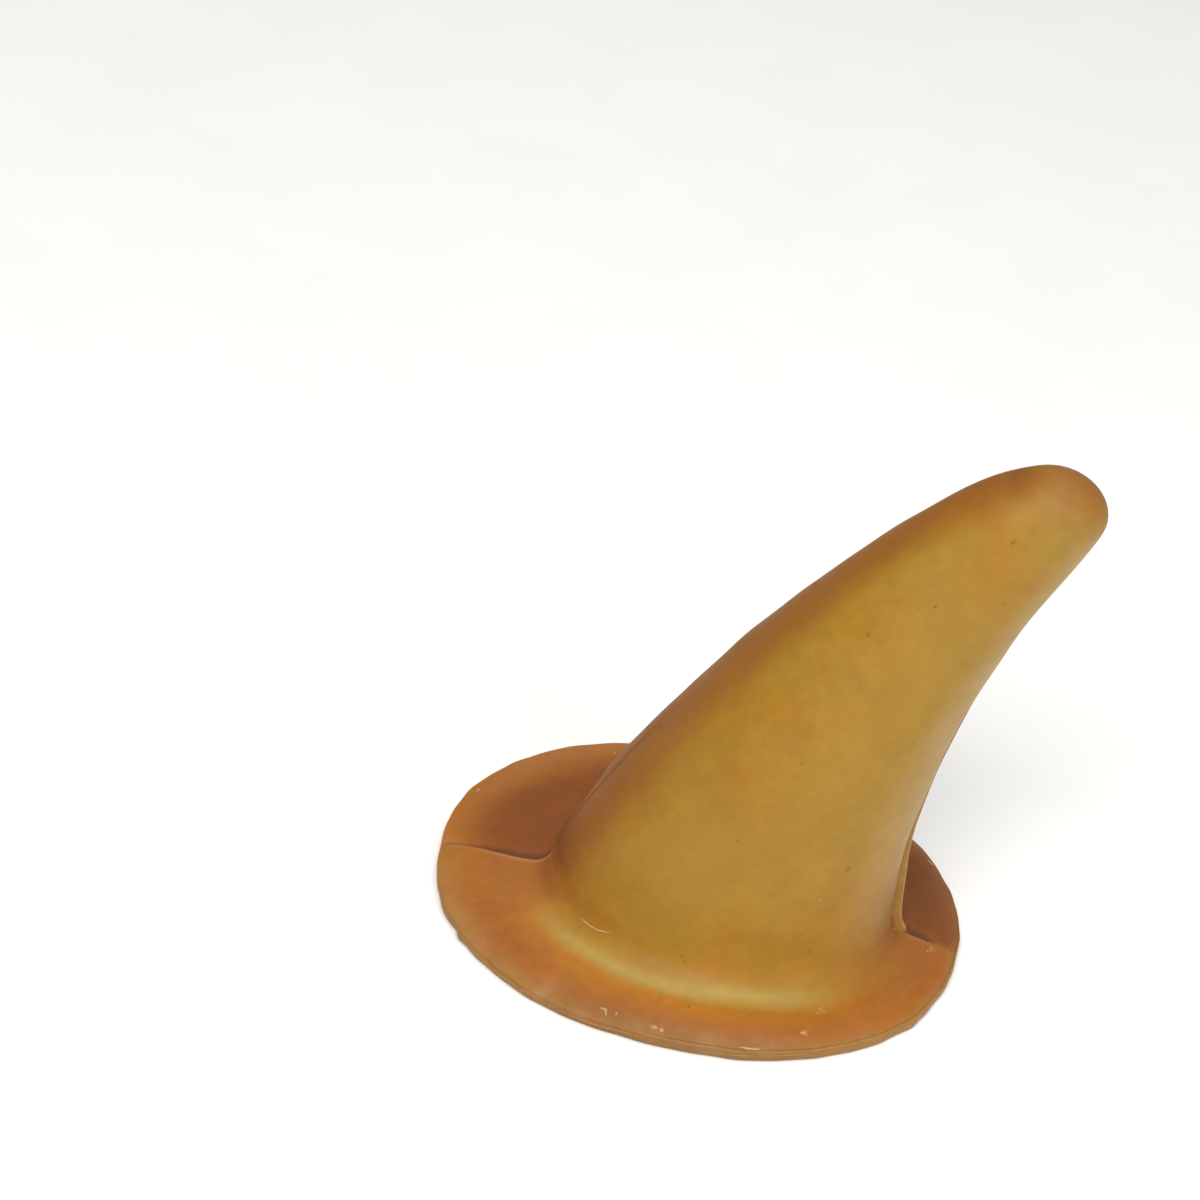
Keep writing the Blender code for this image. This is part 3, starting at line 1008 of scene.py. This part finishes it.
# The mould's flash: a ridge down the front edge that stands out most at its foot, and a thin line
# up the spine. A bead's sizes are in metres.
frontFlash = {
    "startsAt": 1.12,
    "endsAt": 2.84,
    "thinFrom": 1.95,
    "thinBy": 2.40,
    "thinShare": 0.30,
    "bead": {
        "Width": 0.0013,
        "Proud": 0.0016,
        "Bedded": 0.0012,
        "Corner": 0.0004,
        "Fade In": 0.25,
        "Fade Out": 0.012,
        "Ragged": 0.12,
        "Ragged Scale": 180.0,
    },
}
spineFlash = {
    "startsAt": 1.25,
    "endsAt": 2.35,
    "bead": {
        "Width": 0.00026,
        "Proud": 0.00022,
        "Bedded": 0.0005,
        "Corner": 0.00008,
        "Fade In": 0.08,
        "Fade Out": 0.5,
        "Ragged": 0.35,
        "Ragged Scale": 400.0,
    },
}


def seamRun(column, flash):
    rows = [row for row in range(rowCount) if flash["startsAt"] <= climbRows[row] <= flash["endsAt"]]
    points = outerGrid[rows, column].copy()
    points[:, 1] = 0
    return points, np.tile((0.0, 1.0, 0.0), (len(points), 1)), climbRows[rows]


def frontRun():
    # from the top down
    points, across, up = (part[::-1] for part in seamRun(0, frontFlash))
    thin = smooth(frontFlash["thinFrom"], frontFlash["thinBy"], up)
    return points, across, 1 + (frontFlash["thinShare"] - 1) * thin


def spineRun():
    points, across, up = seamRun(columnCount // 2, spineFlash)
    return points, across, 1.0


def beaded(name, runs, sizes, material):
    return grow(name, pathMesh(name + "Path", runs), bead, {**sizes, "Material": material})


print("flash: the seam's ridge and line")
bead = beadTree()
flashRubber = plainRubber("flashRubber", (0.350, 0.180, 0.042), 0.45, 0.08)
spineRubber = plainRubber("spineRubber", (0.215, 0.088, 0.016), 0.60, 0.08)
frontRidge = beaded("frontRidge", [frontRun()], frontFlash["bead"], flashRubber)
spineLine = beaded("spineLine", [spineRun()], spineFlash["bead"], spineRubber)

# A healed scratch low on the body, as (angle, climb), and ragged trim marks along the rim, as
# (from angle, to angle, height, swing in height) in millimetres.
scratch = {
    "course": (
        (223.4, 1.37), (226.0, 1.355), (229.2, 1.35),
        (232.6, 1.375), (235.6, 1.43), (237.4, 1.50),
    ),
    "steps": 24,
    "bead": {
        "Width": 0.00022,
        "Proud": 0.00010,
        "Bedded": 0.0002,
        "Corner": 0.00006,
        "Spacing": 0.0003,
        "Fade In": 0.25,
        "Fade Out": 0.3,
        "Ragged": 0.2,
    },
}
trimMarks = {
    "runs": (
        (211, 238, 1.10, 0.35),
        (246, 268, 1.35, 0.30),
        (276, 301, 1.20, 0.35),
        (318, 336, 1.40, 0.30),
        (20, 60, 1.40, 0.35),
        (120, 160, 1.30, 0.35),
    ),
    "inset": 0.04,
    "bead": {
        "Width": 0.00018,
        "Proud": 0.00010,
        "Bedded": 0.0003,
        "Corner": 0.00006,
        "Fade In": 0.2,
        "Fade Out": 0.2,
        "Ragged": 1.3,
        "Ragged Scale": 220.0,
    },
}


def scratchRun():
    course = np.array(scratch["course"])
    steps = np.linspace(0, len(course) - 1, scratch["steps"])
    turns, climbs = (np.interp(steps, np.arange(len(course)), column) for column in course.T)
    found = [onSkin(angle, up) for angle, up in zip(turns, climbs)]
    points = np.array([place[0] for place in found])
    outward = np.array([place[1] for place in found])
    along = unit(np.gradient(points, axis=0))
    return points, unit(np.cross(outward, along)), 1.0


def trimRun(start, end, height, swing):
    turn = np.radians(np.linspace(start, end, int(abs(end - start)) * 2))
    points = rimOval(trimMarks["inset"], 0, turn)
    points[:, 1] += ear["brimAside"]
    points[:, 2] = height + swing * np.sin(5.3 * turn + start)
    return points, np.tile((0.0, 0.0, 1.0), (len(points), 1)), 1.0


print("marks: scratch, trim marks and nicks")
paleScuff = plainRubber("paleScuff", (0.50, 0.30, 0.11), 0.5, 0.1)
scratchLine = beaded("scratchLine", [scratchRun()], scratch["bead"], paleScuff)
trimRuns = [trimRun(*run) for run in trimMarks["runs"]]
trimLines = beaded("trimLines", trimRuns, trimMarks["bead"], flashRubber)

# Torn nicks: (angle, climb, turned from the ring's way, half sizes along, across and proud)
rimNicks = (
    (255.2, 0.215, 25, (0.78, 0.24, 0.12)),
    (256.2, 0.165, -35, (0.70, 0.24, 0.12)),
    (258.2, 0.205, -75, (0.42, 0.18, 0.10)),
    (268.1, 0.150, 0, (0.52, 0.42, 0.16)),
    (266.6, 0.175, 10, (0.65, 0.18, 0.07)),
    (286.2, 0.072, 9, (1.90, 0.30, 0.18)),
    (284.3, 0.092, 12, (1.00, 0.12, 0.08)),
    (298.0, 0.400, 20, (0.42, 0.20, 0.06)),
    (357.2, 1.600, 0, (0.38, 0.27, 0.10)),
    (355.2, 0.576, 30, (0.30, 0.16, 0.05)),
    (353.3, 0.646, -20, (0.26, 0.14, 0.05)),
    (31.0, 0.120, 0, (1.20, 0.16, 0.10)),
    (76.0, 0.070, 0, (0.90, 0.15, 0.10)),
    (118.0, 0.300, 40, (0.50, 0.18, 0.09)),
    (160.0, 0.100, 0, (0.70, 0.16, 0.10)),
)
tornRubber = plainRubber("tornRubber", (0.425, 0.250, 0.108), 0.55, 0.15)
values = {"Variation": 0.12, "Material": tornRubber}
nicks = grow("rimNicks", pointMesh("nickPoints", rimNicks), fleckTree(), values)

pieces = [earSkin, frontRidge, spineLine, scratchLine, trimLines, nicks]
for piece in pieces:
    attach(piece, "root")
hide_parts("rubber_ear")

# Floor, lights and camera. Lengths in millimetres, from the flange's middle; angles in degrees.
studio = {
    "floorColour": (0.88, 0.88, 0.875, 1),
    "floorHalf": 3000,
    "floorBelow": 0.2,
    "worldColour": (0.87, 0.86, 0.84, 1),
    "worldStrength": 0.45,
    "softboxes": (
        # name, place, aimed at, width, height, watts, colour
        ("keySoftbox", (-120, -640, 900), (0, 0, 30), 620, 460, 8.8, (1.0, 0.98, 0.94)),
        ("fillSoftbox", (560, -520, 420), (10, 0, 40), 420, 420, 2.2, (0.97, 0.98, 1.0)),
        ("overhead", (100, 60, 1150), (0, 0, 0), 900, 700, 4.6, (1.0, 1.0, 1.0)),
    ),
}
view = {
    "distance": 786.0,
    "elevation": 40.0,
    "yaw": 2.79,
    "pitch": 35.95,
    "roll": 10.2,
    "lens": 119.49,
}


def makeFloor():
    half, level = studio["floorHalf"] * mm, -studio["floorBelow"] * mm
    mesh = bpy.data.meshes.new("paleFloor")
    corners = [(x * half, y * half, level) for x, y in ((-1, -1), (1, -1), (1, 1), (-1, 1))]
    mesh.from_pydata(corners, [], [(0, 1, 2, 3)])
    floor = addObject("paleFloor", mesh)
    material, tree, shader, place = newMaterial("palePaper")
    cloud = mapRange(tree, noise(tree, place, 30.0, 3.0), 0.3, 0.7, 0.99, 1.01)
    colour = mixColour(tree, 1.0, studio["floorColour"], cloud, "MULTIPLY")
    tree.links.new(colour, shader.inputs["Base Color"])
    shader.inputs["Roughness"].default_value = 0.9
    mesh.materials.append(material)


def makeLights():
    for name, place, target, width, height, watts, colour in studio["softboxes"]:
        light = bpy.data.lights.new(name, "AREA")
        light.shape = "RECTANGLE"
        light.size = width * mm
        light.size_y = height * mm
        light.energy = watts
        light.color = colour
        lamp = addObject(name, light)
        start = Vector(inPlace(place))
        lamp.location = start
        lamp.rotation_euler = (Vector(inPlace(target)) - start).to_track_quat("-Z", "Y").to_euler()
    world = bpy.data.worlds.new("softRoom")
    world.use_nodes = True
    background = world.node_tree.nodes["Background"]
    background.inputs["Color"].default_value = studio["worldColour"]
    background.inputs["Strength"].default_value = studio["worldStrength"]
    bpy.context.scene.world = world


def makeCamera():
    yaw, pitch, roll = (radians(view[name]) for name in ("yaw", "pitch", "roll"))
    forward = np.array((-sin(yaw) * cos(pitch), cos(yaw) * cos(pitch), -sin(pitch)))
    right = np.array((cos(yaw), sin(yaw), 0.0))
    up = np.cross(right, forward)
    turnedRight = right * cos(roll) + up * sin(roll)
    turnedUp = up * cos(roll) - right * sin(roll)
    elevation = radians(view["elevation"])
    place = inPlace((0, -view["distance"] * cos(elevation), view["distance"] * sin(elevation)))
    data = bpy.data.cameras.new("photoCamera")
    data.lens = view["lens"]
    data.sensor_width = 36
    data.clip_start = 0.01
    camera = addObject("photoCamera", data)
    columns = np.column_stack((turnedRight, turnedUp, -forward, place))
    camera.matrix_world = Matrix([*columns.tolist(), (0, 0, 0, 1)])
    bpy.context.scene.camera = camera


print("studio: floor, lights, camera")
makeFloor()
makeLights()
makeCamera()
bpy.context.scene.view_settings.view_transform = "Standard"
bpy.context.scene.view_settings.look = "None"
